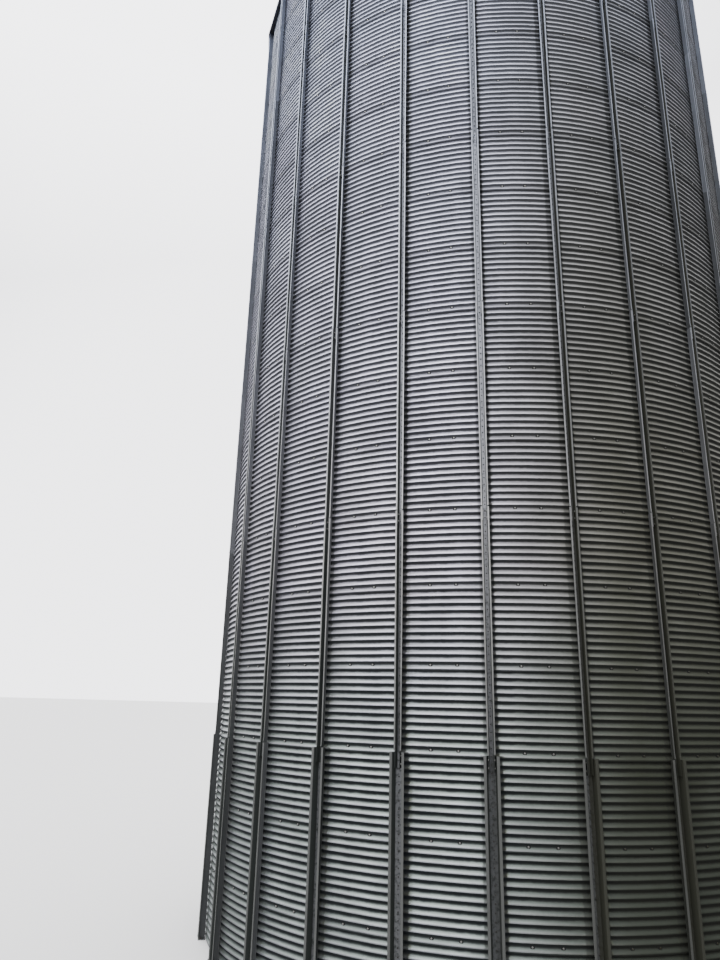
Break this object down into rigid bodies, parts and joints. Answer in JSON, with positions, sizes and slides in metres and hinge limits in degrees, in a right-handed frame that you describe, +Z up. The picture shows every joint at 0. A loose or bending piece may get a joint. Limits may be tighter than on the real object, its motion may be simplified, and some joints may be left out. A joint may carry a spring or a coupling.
{
  "type": "grain silo",
  "caption": "Tall round grain silo of corrugated galvanised sheet, with upright channel stiffeners outside, a conical ribbed roof with a centre lid, and a flat floor.",
  "frame": {"origin": "middle of the foot of the silo, on the ground", "axes": "+Z up along the axis of the silo; one stiffener stands exactly at the front, on -Y"},
  "size_m": [8.2214, 8.2214, 17.2346],
  "materials": {
    "wall_sheet": "hot-dip galvanised corrugated sheet, weathered to a satin grey",
    "stiffener_steel": "galvanised folded channel, dull grey with green and black grime",
    "roof_sheet": "galvanised sheet, weathered",
    "concrete": "floated concrete"
  },
  "bodies": {
    "root": {"wall_panel_1": "wall_sheet", "wall_panel_2": "wall_sheet", "wall_panel_3": "wall_sheet", "wall_panel_4": "wall_sheet", "wall_panel_5": "wall_sheet", "wall_panel_6": "wall_sheet", "wall_panel_7": "wall_sheet", "wall_panel_8": "wall_sheet", "wall_panel_9": "wall_sheet", "stiffener_01": "stiffener_steel", "stiffener_02": "stiffener_steel", "stiffener_03": "stiffener_steel", "stiffener_04": "stiffener_steel", "stiffener_05": "stiffener_steel", "stiffener_06": "stiffener_steel", "stiffener_07": "stiffener_steel", "stiffener_08": "stiffener_steel", "stiffener_09": "stiffener_steel", "stiffener_10": "stiffener_steel", "stiffener_11": "stiffener_steel", "stiffener_12": "stiffener_steel", "stiffener_13": "stiffener_steel", "stiffener_14": "stiffener_steel", "stiffener_15": "stiffener_steel", "stiffener_16": "stiffener_steel", "stiffener_17": "stiffener_steel", "stiffener_18": "stiffener_steel", "stiffener_19": "stiffener_steel", "stiffener_20": "stiffener_steel", "stiffener_21": "stiffener_steel", "stiffener_22": "stiffener_steel", "stiffener_23": "stiffener_steel", "stiffener_24": "stiffener_steel", "stiffener_25": "stiffener_steel", "stiffener_26": "stiffener_steel", "stiffener_27": "stiffener_steel", "roof_sector_1": "roof_sheet", "roof_sector_2": "roof_sheet", "roof_sector_3": "roof_sheet", "roof_collar": "roof_sheet", "roof_cap": "roof_sheet", "floor": "concrete"}
  },
  "joints": []
}
